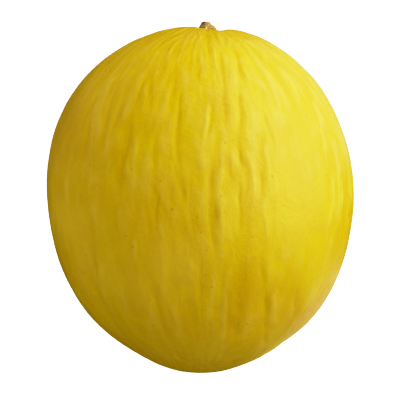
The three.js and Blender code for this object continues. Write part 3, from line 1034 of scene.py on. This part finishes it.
stub_finish = make_stub_finish()
stub.data.materials.append(stub_finish)
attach(stub, "root")
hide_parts("stalk_stub")
print("stub nodes:", len(stub_finish.node_tree.nodes))

# %% [markdown]
# ## The studio
#
# The melon stands on a light table: a pale floor that glows evenly and runs into a white background. It
# fills the underside and shows no shadow. A tall softbox on the right models the folds. Weak panels in front
# and on the left open the shaded side, and a small one behind on the right draws the rim. The wax should
# show the softbox and little else, so the room and most of the table look dark to reflections, as black
# cards would make them. Only a pool of light on the table, behind the fruit on the right, is mirrored in
# its underside. A faint lamp in the table on the right stands in for what the softbox makes it throw back.

# %% Floor
FLOOR_HALF = 8.0
FLOOR_LEVEL = -0.0001  # a hair below the flat spot, so that the two never share a plane
POOL_PLACE = (0.060, 0.12, 0.0)  # where the softbox makes a pool of light on the table
POOL_REACH = 0.155
TABLE_SEEN = 1.3  # how bright the table looks to the camera
TABLE_GLOW = 0.36  # how bright it is for the fruit
TABLE_MIRRORED = 0.01  # how bright it is in the wax's reflections, outside the pool


def emit(tree, strength):
    """White light of its own."""
    return add(tree, "Emission", Color=(1, 1, 1, 1), Strength=strength).outputs[0]


def mix(share, before, after):
    """Mixes two shaders."""
    return add(share.id_data, "MixShader", Fac=share, _1=before, _2=after).outputs[0]


def make_floor():
    """A wide floor that can't be seen from below."""
    mesh = bpy.data.meshes.new("floor")
    sides = [(-1, -1), (1, -1), (1, 1), (-1, 1)]
    mesh.from_pydata([(x * FLOOR_HALF, y * FLOOR_HALF, FLOOR_LEVEL) for x, y in sides], [], [(0, 1, 2, 3)])
    material, tree, _ = new_material("light_table")
    material.cycles.emission_sampling = "NONE"  # so that a glossy ray never gets the glow for diffuse ones
    tree.nodes.clear()
    rays = add(tree, "LightPath").outputs
    place = add(tree, "TexCoord").outputs["Object"]
    paper = add(tree, "BsdfDiffuse", Color=(0.8, 0.8, 0.8, 1)).outputs[0]
    seen = add(tree, "AddShader", _0=emit(tree, TABLE_SEEN), _1=paper).outputs[0]
    pool = ramp(distance_to(place, POOL_PLACE), POOL_REACH, 0.6 * POOL_REACH)
    mirrored = mix(pool, emit(tree, TABLE_MIRRORED), paper)
    surface = mix(rays["Is Glossy Ray"], emit(tree, TABLE_GLOW), mirrored)
    surface = mix(rays["Is Camera Ray"], surface, seen)
    clear = add(tree, "BsdfTransparent").outputs[0]
    below = add(tree, "NewGeometry").outputs["Backfacing"]
    add(tree, "OutputMaterial", Surface=mix(below, surface, clear))
    mesh.materials.append(material)
    floor = put_in_scene("floor", mesh)
    print(f"a floor {2 * FLOOR_HALF:.0f} m wide")


make_floor()

# %% Room light
ROOM_WHITE = 2.0  # how bright the room looks to the camera
ROOM_FILL = 0.27  # how bright it is for the fruit
ROOM_GLOSS = 0.03  # and in reflections


def make_world():
    """A white room that is brighter to the camera than to the fruit."""
    world = bpy.data.worlds.new("studio")
    bpy.context.scene.world = world
    world.use_nodes = True
    world.cycles.sampling_method = "NONE"
    tree = world.node_tree
    rays = add(tree, "LightPath").outputs
    strength = scaled(rays["Is Glossy Ray"], ROOM_GLOSS - ROOM_FILL, ROOM_FILL)
    strength = scaled(rays["Is Camera Ray"], ROOM_WHITE - ROOM_FILL, strength)
    connect(tree.nodes["Background"], Strength=strength, Color=(1, 1, 1, 1))
    print("room light:", ROOM_FILL)


make_world()

# %% Lamps
LAMP_TARGET = Vector((0, 0, 0.085))
BOUNCE_PLACE = (0.14, 0.03, 0.001)


def area_lamp(name, size, watts, shape="RECTANGLE"):
    """A flat lamp of a size in metres, which the camera doesn't see."""
    data = bpy.data.lights.new(name, "AREA")
    data.shape = shape
    data.size, data.size_y = size
    data.energy = watts
    lamp = put_in_scene(name, data)
    lamp.visible_camera = False
    return lamp


def panel(name, turn, rise, distance, size, watts):
    """A lamp that faces the fruit. turn and rise are in degrees, and turn runs from the front rightwards."""
    lamp = area_lamp(name, size, watts)
    turn, rise = math.radians(turn), math.radians(rise)
    towards = Vector((math.sin(turn) * math.cos(rise), -math.cos(turn) * math.cos(rise), math.sin(rise)))
    lamp.location = LAMP_TARGET + towards * distance
    lamp.rotation_euler = towards.to_track_quat("Z", "Y").to_euler()
    return lamp


softbox = panel("softbox", turn=72, rise=36, distance=0.75, size=(0.80, 1.30), watts=5.8)
front_panel = panel("front_panel", turn=0, rise=20, distance=0.90, size=(1.00, 1.00), watts=1.4)
left_panel = panel("left_panel", turn=-118, rise=20, distance=0.90, size=(1.00, 1.00), watts=1.9)
rim_panel = panel("rim_panel", turn=140, rise=25, distance=0.90, size=(0.60, 0.80), watts=0.95)
bounce = area_lamp("table_bounce", size=(0.24, 0.28), watts=0.020, shape="ELLIPSE")
bounce.location = BOUNCE_PLACE
bounce.rotation_euler = (math.pi, 0, 0)  # it faces up
for lamp in (front_panel, left_panel, bounce):
    lamp.visible_glossy = False
print("lamps:", [lamp.name for lamp in (softbox, front_panel, left_panel, rim_panel, bounce)])

# %% [markdown]
# ## Camera and picture
#
# A long lens from just under a metre, looking down by 5 degrees, keeps the fruit's sides nearly parallel.
# The picture is then given the response of a camera set for product shots: deep tones gain strength,
# and bright ones are rolled off towards white.

# %% Camera
CAMERA_DISTANCE = 0.9
CAMERA_RISE = math.radians(5)
LENS = 165.4
LOOK_AT = Vector((-0.00035, 0, 0.08373))

camera_data = bpy.data.cameras.new("camera")
camera_data.lens = LENS
camera = put_in_scene("camera", camera_data)
back = Vector((0, -math.cos(CAMERA_RISE), math.sin(CAMERA_RISE)))
camera.location = LOOK_AT + back * CAMERA_DISTANCE
camera.rotation_euler = back.to_track_quat("Z", "Y").to_euler()
bpy.context.scene.camera = camera

# %% The picture's response to light
WHITE = 1.36
BLUE_BLACK = 0.007  # deep yellows lose the last of their blue
ALL_CHANNELS = 3  # the curve that acts on red, green and blue together
# Each stop: light in, light out.
RESPONSE = [
    (0.075, 0.08), (0.154, 0.222), (0.219, 0.365), (0.311, 0.555), (0.441, 0.745), (0.625, 0.88),
    (0.78, 0.955),
]

view = bpy.context.scene.view_settings
view.view_transform = "Standard"
view.use_curve_mapping = True
view.curve_mapping.white_level = (WHITE, WHITE, WHITE)
view.curve_mapping.black_level = (0, 0, BLUE_BLACK)
curve = view.curve_mapping.curves[ALL_CHANNELS]
for x, y in RESPONSE:
    curve.points.new(x, y)
view.curve_mapping.update()
